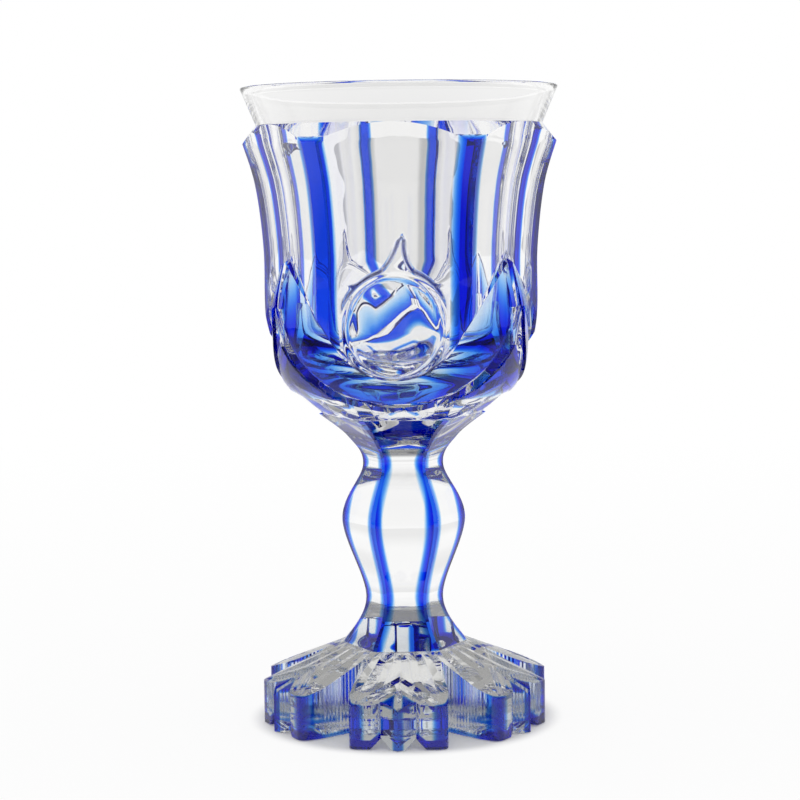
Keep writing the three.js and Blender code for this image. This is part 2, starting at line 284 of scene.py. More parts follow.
def chevron_spread(angle):
    """Share of a radius at an angle that counts across the chevrons, whose arms lean back from the middle."""
    turn = within(angle, sixth)
    return np.maximum(np.cos(turn) - chevron_lean * np.abs(np.sin(turn)), least_chevron_spread)


def tooth_mitre(across, out):
    """Depth of the mitre that runs out along the tooth."""
    deepest = tooth_mitre_depth * np.clip((out - tooth_mitre_start) / (foot_radius - tooth_mitre_start), 0, 1)
    return np.maximum(deepest - tooth_mitre_slope * across, 0)


def foot_top(angle, radius):
    """Height of the foot's top: a cone from the stem to the edge, less the deepest of the chevrons, the mitre
    of the tooth and the fan, a zigzag round the stem that ends before the chevrons."""
    fall = (foot_height - foot_edge_height) / (foot_radius - foot_top_radius)
    cone = foot_height - fall * np.maximum(radius - foot_top_radius, 0)
    across, out = lobe_place(angle, radius)
    along = out - chevron_lean * across
    chevrons = np.interp(along, chevron_lines, chevron_depths)
    chevrons = chevrons * smooth_rise((reach_at(angle) - radius - chevron_margin) / chevron_margin_run)
    fan = fan_depth * np.abs((angle * fan_mitres / (2 * np.pi)) % 1 * 2 - 1)
    fan = fan * smooth_rise((radius - foot_top_radius) / fan_start_run)
    fan = fan * smooth_rise((chevron_lines[0] - along) / fan_end_run)
    return cone - np.maximum(np.maximum(chevrons, fan), tooth_mitre(across, out))


def foot_bottom(angle, radius):
    """Height of the foot's underside: mitres cut from below run out in the valleys beside each tooth, and its
    middle is a little hollow."""
    across, out = lobe_place(angle, radius)
    scallop = np.maximum(1 - np.abs(across - tooth_half_width) / scallop_half_width, 0)
    hollow = foot_hollow * smooth_rise((foot_hollow_radius - radius) / foot_hollow_run)
    return scallop_depth * scallop * np.clip((out - scallop_start) / scallop_run, 0, 1) + hollow


def top_casing(angle, radius):
    """Thickness of casing on the foot's top: full beyond the last chevron and beside the tooth's mitre."""
    across, out = lobe_place(angle, radius)
    beyond = smooth_rise((out - chevron_lean * across - chevron_lines[-1]) / chevron_casing_run)
    beside = smooth_rise((across - tooth_mitre_depth / tooth_mitre_slope / 2) / mitre_casing_run)
    return casing_film + foot_casing * beyond * beside


def wall_casing(angle, radius, height):
    """Thickness of the casing on the foot's wall, inwards: thick at the outer corners, along the tooth's edge
    and in a band along the bottom, and a mere film where the wheel has cut it away."""
    across, out = lobe_place(angle, radius)
    corner = corner_casing * smooth_rise((across - corner_across) / corner_across_run)
    corner = corner * smooth_rise((out - corner_out) / corner_out_run)
    ridge = ridge_casing * smooth_rise((ridge_half_width - across) / ridge_run)
    column = smooth_rise((across - tooth_half_width) / column_run)
    side = 1 - smooth_rise((out - notch_side_out) / notch_side_run)
    band_top = foot_bottom(angle, radius) + foot_bevel + low_band_height - low_band_height_loss * side
    band = smooth_rise((band_top - height) / low_band_run) * column
    band = band * (low_band_casing - low_band_casing_loss * side)
    thin_in = smooth_rise((radius - cap_start) / cap_start_run)
    return casing_film + np.maximum(np.maximum(corner, ridge), band) * thin_in


def cap_bed(angle, reach):
    """The clear glass under the casing along the outline, as (radius, height) rows from the last chevron out
    over the top and down the wall. Where there is no casing it is the foot's own surface."""
    capped = reach > cap_start
    inner = np.minimum(chevron_lines[-1] / chevron_spread(angle), reach - least_cap_width)
    edge = reach - wall_casing(angle, reach, foot_top(angle, reach)) * capped
    top_radius = inner + (edge - inner) * np.linspace(0, 1, cap_top_rows)[:, None]
    top_height = foot_top(angle, top_radius) - top_casing(angle, top_radius) * capped
    down = 1 - np.linspace(1, 0, cap_wall_rows)[1:, None] ** cap_wall_crowding
    wall_height = top_height[-1] + (foot_bottom(angle, reach) + foot_bevel - top_height[-1]) * down
    wall_radius = reach - wall_casing(angle, reach, wall_height) * capped
    return np.concatenate([top_radius, wall_radius]), np.concatenate([top_height, wall_height])


outline = lobed_outline()
foot_reach = np.hypot(*outline.T)
foot_angle = np.arctan2(outline[:, 0], -outline[:, 1])
stem_flats = foot_top_radius * stem_facet_share / np.cos(within(foot_angle - stem_turn, sixth))
seat = np.minimum(stem_flats, foot_top_radius)
bed_radius, bed_height = cap_bed(foot_angle, foot_reach)
chevron_number = np.arange(len(chevron_lines))
chevron_steps = np.interp(np.arange(0, len(chevron_lines) - 0.5, 0.5), chevron_number, chevron_lines)
chevron_rows = chevron_steps[:, None] / chevron_spread(foot_angle)
rows_left = np.arange(len(chevron_rows))[::-1, None] + 1
chevron_rows = np.minimum(chevron_rows, bed_radius[:1] - least_row_gap * rows_left)
first_rows = seat + (chevron_rows[:1] - seat) * np.linspace(0, 1, fan_rows, endpoint=False)[:, None]
free_radius = np.concatenate([first_rows, chevron_rows])
under_radius = bed_radius[-1] * under_shares[:, None]
foot_points = standing(
    foot_angle, np.concatenate([free_radius, bed_radius, under_radius]),
    np.concatenate([foot_top(foot_angle, free_radius), bed_height, foot_bottom(foot_angle, under_radius)]))
row_number = np.arange(len(foot_points) - 1)[:, None]
on_bed = (row_number >= len(free_radius) - 1) & (row_number < len(free_radius) + len(bed_radius) - 1)
capped = foot_reach > cap_start
foot_fused = on_bed & capped & np.roll(capped, -1)
ground_crystal = crystal_glass(
    "ground_crystal", (0.986, 0.985, 0.981, 1), grey_and_shade=8.0, wave_scale=400.0, wave_height=0.000002)
ring_piece("foot", foot_points, foot_fused, [True, False], ground_crystal, -1)

# Blue caps of the foot
# What is left of the blue casing on the edge of the foot: a cap on each outer column and one on each tooth.
# The casing is blown over the clear gather and fused to it, and the cutter's wheel leaves only these.
casing_gap = 0.00002
rounding = 0.000001

# Cobalt-blue glass takes out red and green with depth. Its ground faces have the roughness of the wheel.
cobalt = polished_glass(
    "cobalt_casing", tint=(0.97, 0.98, 1.0, 1), depth_colour=(0.02, 0.56, 0.975, 1), density=6200.0)
tree = cobalt.node_tree
set_inputs(tree.nodes["Principled BSDF"], {"Roughness": marked_value(tree, "ground")})


def foot_cap(node, lobe, plan):
    """A cap: a sheet carried along a stretch of the outline, from the bottom up the wall and in over the top,
    with the clear bed as its back. Its ends are closed between front and back."""
    angle = np.arctan2(plan[:, 0], plan[:, 1]) + lobe * sixth
    reach = np.hypot(*plan.T)
    back_radius, back_height = cap_bed(angle, reach)
    up = np.linspace(0, 1, cap_wall_rows)[:, None] ** cap_wall_crowding
    bottom = back_height[-1]
    wall_height = bottom + (foot_top(angle, reach) - bottom) * up
    top_radius = reach + (back_radius[0] - reach) * np.linspace(0, 1, cap_top_rows)[1:, None]
    back_row = np.arange(len(back_radius))[:, None]
    back_radius = back_radius + casing_gap * (back_row >= cap_top_rows - 1)
    back_height = back_height + casing_gap * (back_row <= cap_top_rows - 1)
    radius = np.concatenate([np.broadcast_to(reach, wall_height.shape), top_radius, back_radius])
    height = np.concatenate([wall_height, foot_top(angle, top_radius), back_height])
    points = standing(angle[:, None], radius.T, height.T)
    rows, loop = points.shape[:2]
    number = np.arange(loop)
    inside = np.repeat(np.tile((number >= len(back_row) - 1) & (number < loop - 1), rows - 1), 2)
    front = np.arange(loop // 2 - 1)
    behind = loop - 1 - front
    sheet = np.stack([front, front + 1, behind - 1, front, behind - 1, behind], 1).reshape(-1, 3)
    triangles = np.concatenate([ring_triangles(rows, loop), sheet[:, ::-1], sheet + (rows - 1) * loop])
    inside = np.concatenate([inside, np.ones(2 * len(sheet), bool)])
    if angle[-1] > angle[0]:
        triangles = triangles[:, ::-1]
    notch_wall = (plan[:-1, 1] < notch_wall_end + rounding)[:, None] & (number < cap_wall_rows - 1)
    ground = np.concatenate([np.repeat(notch_wall.ravel(), 2), np.zeros(2 * len(sheet), bool)])
    glass_piece(node, points.reshape(-1, 3), triangles, inside, cobalt, ground=ground)


right_half = half_lobe()
tooth_side = right_half[:, 0] < tooth_half_width + rounding
tooth_side &= right_half[:, 1] > tooth_notch - rounding
right_tooth = right_half[tooth_side]
tooth_plan = np.concatenate([right_tooth, right_tooth[-2::-1] * (-1, 1)])
beside_tooth = right_tooth[:1] + (casing_gap, 0)
column_side = ~tooth_side & (np.hypot(*right_half.T) > cap_start)
column_plan = np.concatenate([right_half[column_side], beside_tooth])
for lobe in range(6):
    foot_cap(f"foot_tooth_{lobe + 1}", lobe, tooth_plan)
    foot_cap(f"foot_corner_{2 * lobe + 1}", lobe, column_plan * (-1, 1))
    foot_cap(f"foot_corner_{2 * lobe + 2}", lobe, column_plan)

# Stem
# A six-sided baluster of clear crystal with one knop, drawn from the gather and ground flat on six sides.
# It is fused hot to the foot below and to the bowl above, a little out of line with them.
stem_height = 0.0605
stem_head_radius = 0.0217
stem_casing = 0.0008
curve_steps = 400
stem_row_count = 220
flat_columns, edge_columns = 18, 8


def smooth_stations(stations, steps):
    """Smooth curve through (radius, height) stations: at each one it is parallel to its neighbours' chord."""
    p = np.array(stations)
    ahead, behind = np.vstack([p[1:], p[-1:]]), np.vstack([p[:1], p[:-1]])
    lean = (ahead - behind) / 2
    t = np.linspace(0, len(p) - 1, steps)
    i = np.minimum(t.astype(int), len(p) - 2)
    w = (t - i)[:, None]
    cubic = (2 * p[i] - 2 * p[i + 1] + lean[i] + lean[i + 1]) * w ** 3
    square = (3 * p[i + 1] - 3 * p[i] - 2 * lean[i] - lean[i + 1]) * w ** 2
    return cubic + square + lean[i] * w + p[i]


stem_curve = smooth_stations([
    (foot_top_radius, 0), (0.0101, 0.0120), (0.0161, 0.0328), (0.0105, 0.0469), (0.0142, 0.0544),
    (stem_head_radius, stem_height),
], curve_steps)
stem_rows = np.linspace(casing_gap, stem_height - casing_gap, stem_row_count)
stem_radius = np.interp(stem_rows, stem_curve[:, 1], stem_curve[:, 0])[:, None]
stem_core = stem_radius - stem_casing
stem_flat = stem_facet_share * stem_radius
edge_start = np.arccos(np.minimum(stem_flat / stem_core, 1))
flat_share = np.linspace(-1, 1, flat_columns, endpoint=False)
edge_share = np.linspace(0, 1, edge_columns, endpoint=False)
facet_turn = np.concatenate([edge_start * flat_share, edge_start + (sixth - 2 * edge_start) * edge_share], 1)
stem_angle = np.concatenate([facet_turn + k * sixth for k in range(6)], 1)
clear_stem = np.minimum(stem_flat / np.cos(within(stem_angle, sixth)), stem_core)
stem_points = standing(stem_angle + stem_turn, clear_stem, foot_height + stem_rows[:, None])
under_rib = np.tile(np.arange(flat_columns + edge_columns) >= flat_columns, 6)
drawn_crystal = crystal_glass("drawn_crystal", (0.996, 0.996, 0.994, 1), grey_and_shade=2.0)
ring_piece("stem", stem_points, under_rib, [True, True], drawn_crystal)

# Blue ribs of the stem
# Casing left along the six edges of the stem. The flats cut it at a slant, so that each rib thins to nothing
# at both sides and its blue fades out over the clear.
stem_rib_steps = 6


def rib_loop(clear_edge, strip_edge, steps):
    """Angles round the section of a rib between two flats, in four even runs: up its slanted side from the
    edge of the clear glass, along the strip on top, down the other side and back underneath."""
    strip_edge = np.full_like(clear_edge, strip_edge)
    share = np.linspace(0, 1, steps, endpoint=False)
    return np.concatenate([
        clear_edge + (strip_edge - clear_edge) * share,
        strip_edge + (sixth - 2 * strip_edge) * share,
        sixth - strip_edge + (strip_edge - clear_edge) * share,
        sixth - clear_edge + (2 * clear_edge - sixth) * share,
    ], 1)


rib_angle = rib_loop(edge_start, np.arccos(stem_facet_share), stem_rib_steps)
rib_face = np.minimum(stem_flat / np.cos(within(rib_angle, sixth)), stem_radius)
under = np.arange(4 * stem_rib_steps) >= 3 * stem_rib_steps
rib_radius = np.where(under, stem_core + casing_gap, rib_face)
for rib in range(6):
    points = standing(rib_angle + rib * sixth + stem_turn, rib_radius, foot_height + stem_rows[:, None])
    ring_piece(f"stem_rib_{rib + 1}", points, under, [True, True], cobalt)

# Bowl
# A blown cup of clear crystal, fused to the stem. The wheel has cut six tall panels into it down to a line
# that hangs in three swags, left a raised medallion above each swag, and hollowed each medallion to a lens.
third = 2 * np.pi / 3
bowl_base = foot_height + stem_height
casing = 0.0010
panel_share = 0.89
shoulder_radius, shoulder_height = 0.0405, bowl_base + 0.0701
rim_base_radius, rim_base_height = 0.0369, bowl_base + 0.0747
rim_radius, rim_height = 0.0408, bowl_base + 0.0844
rim_wall = 0.0024
lip_radius = 0.0005
bowl_wall = 0.0030
cup_floor = bowl_base + 0.0090
cup_wave_tilt, cup_wave_length, cup_wave_depth = 4.5, 0.030, 0.0018
cup_wave_half_height, cup_wave_fade = 0.0155, 0.0085
cup_wave_half_turn, cup_wave_turn_fade = third / 4, third / 6
hip_radius, hip_height = 0.0351, bowl_base + 0.0240
bowl_curve = smooth_stations([
    (stem_head_radius, bowl_base), (0.0313, bowl_base + 0.0095), (hip_radius, hip_height),
    (0.0355, bowl_base + 0.0430), (0.03735, bowl_base + 0.0592), (shoulder_radius, shoulder_height),
], curve_steps)
chamfer_fall = (shoulder_radius - rim_base_radius) / (rim_base_height - shoulder_height)
least_chamfer = 0.0001
ramp = 0.0012
ramp_groove = 0.0005
groove = 0.0014
groove_slope = 0.9
scoop, scoop_power = 0.0015, 1.5
medallion_height = bowl_base + 0.0245
medallion_radius = 0.0137
medallion_tip = bowl_base + 0.0460
medallion_ramp = 0.0014
tip_neck = np.radians(42.0)
tip_bend_across, tip_bend_height = 0.0010, bowl_base + 0.0375
tip_lean, tip_lean_limit = 0.0022, 1.2
tip_end_slope, tip_points = 1.5, 60
tip_curve = bezier(
    np.array([medallion_radius * np.sin(tip_neck), medallion_height + medallion_radius * np.cos(tip_neck)]),
    np.array([tip_bend_across, tip_bend_height]), np.array([0, medallion_tip]), tip_points)
printie_radius = 0.0126
printie_depth = 0.0016
printie_reach, printie_turn = 1.3, third / 3
beyond_bowl = 1.0
printie_softness = 0.0004
ring_depth = 0.0005
ring_width = 0.0006
# Dark blue painted on the medallions' flanks: painted shade along their outlines.
outline_shade_blue = (0.006, 0.010, 0.10, 1)
outline_shade_gain, outline_shade_run = 8, 0.0012
swag_low = bowl_base + 0.0110
swag_arc = 0.0200
swag_arc_angle = np.radians(56.0)
swag_bottom = bowl_base + 0.0038
swag_mitre = bowl_base + 0.0286
swag_half_width = hip_radius * np.sin(third / 2)
swag_depth = swag_mitre - swag_bottom
horn_end, horn_slack = groove / hip_radius, 0.98
spandrel_bottom = bowl_base + 0.0055
spandrel_start, spandrel_end = np.radians(31.0), np.radians(89.0)
underside_run, underside_end_share = 0.0055, 1.03
underside_flutes, underside_flute_depth = 18, 0.0009
flute_run, flute_turn_run = 1 / 3, 0.06
line_rounds, halving_rounds = 8, 30
panel_columns, rib_columns = 58, 18
outline_step, ramp_foot_step = 20 / 29, 26 / 29
outline_limit, ramp_foot_limit, limit_power = 0.96, 0.99, 8
beyond_crowding = 3
plain_start, plain_run = 0.001, 0.012
least_half_width = 0.0001
least_band = 0.0003
lip_rows, rim_rows, floor_rows, side_rows = 4, 6, 18, 12


def blank_radius(height):
    """Radius of the uncut bowl at a height."""
    return np.interp(height, bowl_curve[:, 1], bowl_curve[:, 0])


def panel_radius(angle, height):
    """Flat panels: a hexagon in plan that follows the bowl's curve and runs out under the rim."""
    flat = panel_share * blank_radius(height)
    run_out = np.clip((height - shoulder_height) / (rim_base_height - shoulder_height), 0, 1)
    flat = flat + (rim_base_radius - panel_share * shoulder_radius) * run_out
    return flat / np.cos(within(angle, sixth))


def chamfer_radius(height):
    """The cone from the shoulder in to the foot of the rim."""
    return shoulder_radius - (height - shoulder_height) * chamfer_fall


def swag_upper_line(angle, offset):
    """Height of a swag's upper edge, moved up by an offset across it: an arc under the medallion, then
    straight lines to the tips. It is stepped to in rounds because the bowl's radius changes with height."""
    turn = swag_arc * np.sin(swag_arc_angle)
    height = np.full(np.shape(angle), swag_mitre)
    for _ in range(line_rounds):
        across = np.abs(blank_radius(height) * np.sin(within(angle, third)))
        near = np.minimum(across, turn)
        lean = np.sqrt(1 - (near / swag_arc) ** 2)
        height = swag_low + swag_arc * (1 - lean) + (across - near) * np.tan(swag_arc_angle) + offset / lean
    return height


def swag_lower_line(angle, offset):
    """Height of a swag's lower edge, moved inwards by an offset: half an ellipse solved for height.
    Beyond the ellipse's end it stays level with its middle."""
    reach = 1 - offset * 2 / (swag_depth + swag_half_width)
    height = np.full(np.shape(angle), swag_mitre)
    for _ in range(line_rounds):
        across = blank_radius(height) * np.sin(within(angle, third)) / swag_half_width
        height = swag_mitre - swag_depth * np.sqrt(np.maximum(reach ** 2 - across ** 2, 0))
    return height


def chamfer_line(angle):
    """Height at which the panels and the ribs' clear cores meet the chamfer, by halving the range."""
    low, high = np.full(np.shape(angle), shoulder_height - casing), np.full(np.shape(angle), rim_base_height)
    for _ in range(halving_rounds):
        middle = (low + high) / 2
        wall = np.minimum(panel_radius(angle, middle), blank_radius(middle) - casing)
        under = chamfer_radius(middle) > wall
        low, high = np.where(under, middle, low), np.where(under, high, middle)
    return low


def medallion_lean(height):
    """How far a medallion's middle line leans aside at a height: it grows with the square of the height."""
    rise = (height - medallion_height) / (medallion_tip - medallion_height)
    return tip_lean * np.clip(rise, 0, tip_lean_limit) ** 2


def tip_side(height):
    """Half the width of a medallion's drawn-up tip at a height, and how it changes with height. Above the tip
    the width goes on falling below nothing."""
    half = np.interp(height, tip_curve[:, 1], tip_curve[:, 0], right=0)
    half = half - np.maximum(height - medallion_tip, 0) * tip_end_slope
    return half, np.interp(height, tip_curve[:, 1], np.gradient(tip_curve[:, 0], tip_curve[:, 1]))


def inside_medallion(angle, height):
    """Distance inside a medallion's outline: a circle with hollow sides drawn up to a leaning tip."""
    across = np.abs(blank_radius(height) * np.sin(within(angle, third)) - medallion_lean(height))
    circle = medallion_radius - np.hypot(across, height - medallion_height)
    half, slope = tip_side(height)
    tip = (half - across) / np.hypot(1, slope)
    return np.where(height > tip_curve[0, 1], np.maximum(circle, tip), circle)


def medallion_half(height, offset):
    """Half the width of a medallion's outline at a height, the outline moved out by an offset. Below the
    middle the greatest width is kept, and above the tip a hair of it."""
    rise = np.maximum(height - medallion_height, 0)
    circle = np.sqrt(np.maximum((medallion_radius + offset) ** 2 - rise ** 2, 0))
    half, slope = tip_side(height)
    tip = np.where(height > tip_curve[0, 1], half + offset * np.hypot(1, slope), 0)
    return np.maximum(np.maximum(circle, tip), least_half_width + offset / 2)


def eased_limit(value, limit):
    """A value that is kept under a limit and rounds off towards it: the value over a root of one plus the
    same power of its share of the limit."""
    return value / (1 + (value / limit) ** limit_power) ** (1 / limit_power)


def medallion_columns(steps, height, clear_edge, plain):
    """Angles of a medallion panel's columns, as a function of the step from -1 to 1: the outline and the foot
    of its edge each lie on a column. Above the tip the columns go back to plain ones."""
    radius = blank_radius(height)
    outline, ramp_foot = (
        eased_limit(np.arcsin(medallion_half(height, offset) / radius), limit * clear_edge)
        for offset, limit in ((0, outline_limit), (medallion_ramp, ramp_foot_limit)))
    share = np.abs(steps)
    on_ramp = np.clip((share - outline_step) / (ramp_foot_step - outline_step), 0, 1)
    beyond = np.clip((share - ramp_foot_step) / (1 - ramp_foot_step), 0, 1) ** beyond_crowding
    angle = outline * np.minimum(share / outline_step, 1) + (ramp_foot - outline) * on_ramp
    angle = np.sign(steps) * (angle + (clear_edge - ramp_foot) * beyond)
    angle = angle + medallion_lean(height) / radius * (1 - beyond)
    return angle + (plain - angle) * smooth_rise((height - medallion_tip - plain_start) / plain_run)


def printie_surface(angle, height):
    """The hollow lens of a medallion, shallow in plan and deep upright, so that its rim is a true circle."""
    turn = within(angle, third)
    face = blank_radius(medallion_height) - casing
    floor = face - printie_depth
    edge = np.sqrt(face ** 2 - printie_radius ** 2)
    sideways = (edge - floor) / printie_radius ** 2
    upright = printie_depth / printie_radius ** 2
    across = face * np.sin(turn)
    rise = height - medallion_height
    lens = (floor + sideways * across ** 2 + upright * rise ** 2) / np.cos(turn)
    far = (np.hypot(across, rise) > printie_reach * printie_radius) | (np.abs(turn) > printie_turn)
    return np.where(far, beyond_bowl, lens)


def underside(angle, height):
    """The stem's flats run on up under the bowl and die out below the swags."""
    run_out = np.clip((height - bowl_base) / underside_run, 0, 1)
    share = stem_facet_share + (underside_end_share - stem_facet_share) * run_out
    return share * blank_radius(height) / np.cos(within(angle - stem_turn, sixth))


def scooped(share):
    """Depth of a swag's clear bed below the plain one, from its upper edge (share 0) to its lower one (1)."""
    return scoop * (1 - share) ** scoop_power


# The outer wall is a grid. Its rows run through eight bands, each between two lines round the bowl, and its
# columns through six panels and six ribs. The lines are settled in rounds because each depends on the others.
band_rows = [8, 8, 4, 4, 20, 8, 112, 5]
under_band, spandrel_band, groove_fall = 0, 1, 2
swag_band, ramp_band, panel_band, chamfer_band = 4, 5, 6, 7
band_start = np.cumsum([0] + band_rows)
panel_crowding = 1.2
band_of_row = np.repeat(np.arange(len(band_rows)), band_rows)
row_share = np.concatenate([np.linspace(0, 1, count, endpoint=False) for count in band_rows])
row_share = np.where(band_of_row == panel_band, row_share ** panel_crowding, row_share)[:, None]
panel_steps = np.linspace(-1, 1, panel_columns, endpoint=False)
rib_steps = np.linspace(0, 1, rib_columns, endpoint=False)
here = np.arange(len(band_of_row))
wall_height = np.linspace(bowl_base, rim_base_height, len(band_of_row))[:, None]
for _ in range(line_rounds):
    blank = blank_radius(np.maximum(wall_height, hip_height)).mean(1, keepdims=True)
    clear_edge = np.arccos(panel_share * blank / (blank - casing))
    plain_panel = clear_edge * panel_steps
    rib_strip = clear_edge + (sixth - 2 * clear_edge) * rib_steps
    medallion_panel = medallion_columns(panel_steps, wall_height[:, :panel_columns], clear_edge, plain_panel)
    pair = np.concatenate([medallion_panel, rib_strip, plain_panel + sixth, rib_strip + sixth], 1)
    wall_angle = np.concatenate([pair + k * third for k in range(3)], 1)
    lower = swag_lower_line(wall_angle, -groove)
    valley = np.maximum(swag_lower_line(wall_angle, 0), lower + least_band)
    upper = np.maximum(swag_lower_line(wall_angle, groove), valley + least_band)
    swag_top = np.maximum(swag_upper_line(wall_angle, 0), upper + least_band)
    ledge = np.minimum(spandrel_bottom, lower - least_band)
    ramp_top = swag_upper_line(wall_angle, ramp)
    panel_top = np.minimum(chamfer_line(wall_angle), rim_base_height - least_chamfer)
    base, rim_foot = np.full(lower.shape, bowl_base), np.full(lower.shape, rim_base_height)
    keys = np.stack([base, ledge, lower, valley, upper, swag_top, ramp_top, panel_top, rim_foot])
    low_key, high_key = keys[band_of_row, here], keys[band_of_row + 1, here]
    wall_height = low_key + (high_key - low_key) * row_share

turn_in_third = within(wall_angle, third)
band = np.broadcast_to(band_of_row[:, None], wall_angle.shape)
band_share = np.broadcast_to(row_share, wall_angle.shape)
blank = blank_radius(wall_height)
core = np.minimum(blank - casing, chamfer_radius(wall_height))
panel = np.minimum(panel_radius(wall_angle, wall_height), core)
boss = smooth_rise(1 + inside_medallion(wall_angle, wall_height) / medallion_ramp)
above = panel + (core - panel) * boss
hollow = printie_surface(wall_angle, wall_height)
blend = np.clip(0.5 + 0.5 * (hollow - above) / printie_softness, 0, 1)
above = hollow * (1 - blend) + above * blend - printie_softness * blend * (1 - blend)
from_ring = np.hypot(blank * np.sin(turn_in_third), wall_height - medallion_height) - printie_radius
above = above - ring_depth * np.exp(-(from_ring / ring_width) ** 2)
swag_share = np.clip((swag_top - wall_height) / (swag_top - upper), 0, 1)
groove_depth = groove * groove_slope
mitre_near = np.clip(1 - (third / 2 - np.abs(turn_in_third)) * blank / groove, 0, 1) * groove_depth
ramp_rise = (core - scooped(0) - mitre_near) * (1 - band_share) + above * band_share
wall_radius = np.choose(band, [
    core,
    core,
    core - groove_depth * band_share,
    core - groove_depth * (1 - band_share),
    core - scooped(swag_share) - mitre_near,
    ramp_rise - ramp_groove * (1 - np.abs(2 * band_share - 1)),
    above,
    above,
])
flute_turn = 2 * np.pi / underside_flutes
flute = underside_flute_depth * (1 - np.abs(within(wall_angle - stem_turn, flute_turn)) / (flute_turn / 2))
run_in = smooth_rise(band_share / flute_run)
under_spandrel = np.where(band == under_band, run_in * smooth_rise((1 - band_share) / flute_run), 0)
under_swag = np.select(
    [band == under_band, band == spandrel_band, band == groove_fall],
    [run_in, np.ones_like(run_in), 1 - band_share], 0)
below_swag = smooth_rise((spandrel_start - np.abs(turn_in_third)) / flute_turn_run)
wall_radius = np.minimum(wall_radius, underside(wall_angle, wall_height))
wall_radius = wall_radius - flute * (under_spandrel + (under_swag - under_spandrel) * below_swag)
wall = standing(wall_angle, wall_radius, wall_height)

# The rim and the inside of the cup are round, apart from a slanting wave in the cup behind each medallion.
lip_turn = np.linspace(0, np.pi / 2, lip_rows)
rim_share = np.linspace(0, 1, rim_rows)
floor_turn = np.linspace(0, np.pi / 2, floor_rows, endpoint=False)[1:]
cup_side = np.linspace(hip_height, shoulder_height, side_rows)
cup_corner = panel_share * blank_radius(hip_height) - bowl_wall
lip_height = rim_height - lip_radius
rim_curve = np.concatenate([
    np.stack([rim_base_radius + (rim_radius - rim_base_radius) * rim_share,
              rim_base_height + (lip_height - rim_base_height) * rim_share], 1),
    np.stack([rim_radius - lip_radius + lip_radius * np.cos(lip_turn),
              lip_height + lip_radius * np.sin(lip_turn)], 1)[1:],
    np.stack([rim_radius - rim_wall + lip_radius - lip_radius * np.sin(lip_turn),
              lip_height + lip_radius * np.cos(lip_turn)], 1),
])
inside_curve = np.concatenate([
    np.stack([cup_corner * np.sin(floor_turn),
              hip_height - (hip_height - cup_floor) * np.cos(floor_turn)], 1),
    np.stack([panel_share * blank_radius(cup_side) - bowl_wall, cup_side], 1),
    [[rim_base_radius - rim_wall, rim_base_height]],
])[::-1]
round_curve = np.concatenate([rim_curve, inside_curve])
in_cup = np.arange(len(round_curve))[:, None] >= len(rim_curve)
round_height = round_curve[:, 1:]
from_middle = round_height - medallion_height
cup_turn = within(wall_angle[-1:], third)
cup_wave = cup_wave_depth * np.cos(cup_wave_tilt * cup_turn + 2 * np.pi * from_middle / cup_wave_length)
cup_wave = cup_wave * smooth_rise((cup_wave_half_height - np.abs(from_middle)) / cup_wave_fade) * in_cup
cup_wave = cup_wave * smooth_rise((cup_wave_half_turn - np.abs(cup_turn)) / cup_wave_turn_fade)
round_wall = standing(wall_angle[-1:], round_curve[:, :1] - cup_wave, round_height)
bowl_points = np.concatenate([wall, round_wall])
bowl_rows, bowl_columns = bowl_points.shape[:2]

# The crystal is fused under the ribs, swags and spandrels and to the stem. Its edges are crisp along the
# lines between the bands, along the ribs and where two swags meet.
row_number, column_number = np.indices((bowl_rows, bowl_columns))
column_in_panel = column_number % (panel_columns + rib_columns)
under_ribs = column_in_panel[:len(wall)] >= panel_columns
in_swag = third / 2 - np.abs(turn_in_third) > horn_end * horn_slack
in_spandrel = np.abs(turn_in_third) > spandrel_start
covered = np.zeros((bowl_rows - 1, bowl_columns), bool)
covered[:len(wall)] = (band == panel_band) & under_ribs
covered[:len(wall)] |= (band == swag_band) & in_swag & np.roll(in_swag, -1, 1)
covered[:len(wall)] |= (band == spandrel_band) & in_spandrel & np.roll(in_spandrel, -1, 1)
on_line = np.isin(row_number, band_start[1:])
beside_rib = np.isin(column_in_panel, [0, panel_columns])
beside_rib &= (row_number >= band_start[panel_band]) & (row_number <= band_start[chamfer_band])
swags_meet = column_in_panel == panel_columns // 2
swags_meet &= (row_number >= band_start[swag_band]) & (row_number <= band_start[ramp_band])
crisp = np.stack([
    np.where(on_line, row_number, 0), np.where(beside_rib | swags_meet, column_number + 1, 0),
], -1).reshape(-1, 2)
crisp = np.concatenate([crisp, np.zeros((2, 2), int)])
blown_crystal = crystal_glass("blown_crystal", (0.994, 0.993, 0.991, 1), grey_and_shade=5.0)
bowl_piece = ring_piece("bowl", bowl_points, covered, [True, False], blown_crystal, crisp=crisp)

# A dark blue tint is painted into the crystal's colour on the flanks of the medallions, as painted shade that
# draws their outlines dark.
outline_shade_share = np.minimum(outline_shade_gain * boss * (1 - boss), 1) * smooth_rise((core - panel) / outline_shade_run)
outline_shade_share = outline_shade_share * (band >= ramp_band)
painted_outline_shade = np.zeros(len(crisp), np.float32)
painted_outline_shade[:outline_shade_share.size] = outline_shade_share.ravel()
bowl_piece.data.attributes.new("painted_outline_shade", "FLOAT", "POINT").data.foreach_set("value", painted_outline_shade)
tree = blown_crystal.node_tree
shader = tree.nodes["Principled BSDF"]
clear_tint = tuple(shader.inputs["Base Color"].default_value)
outline_shade_mix = {"Factor": marked_value(tree, "painted_outline_shade"), "A": clear_tint, "B": outline_shade_blue}
set_inputs(shader, {"Base Color": add_node(tree, "Mix", outline_shade_mix, data_type="RGBA")["Result"]})

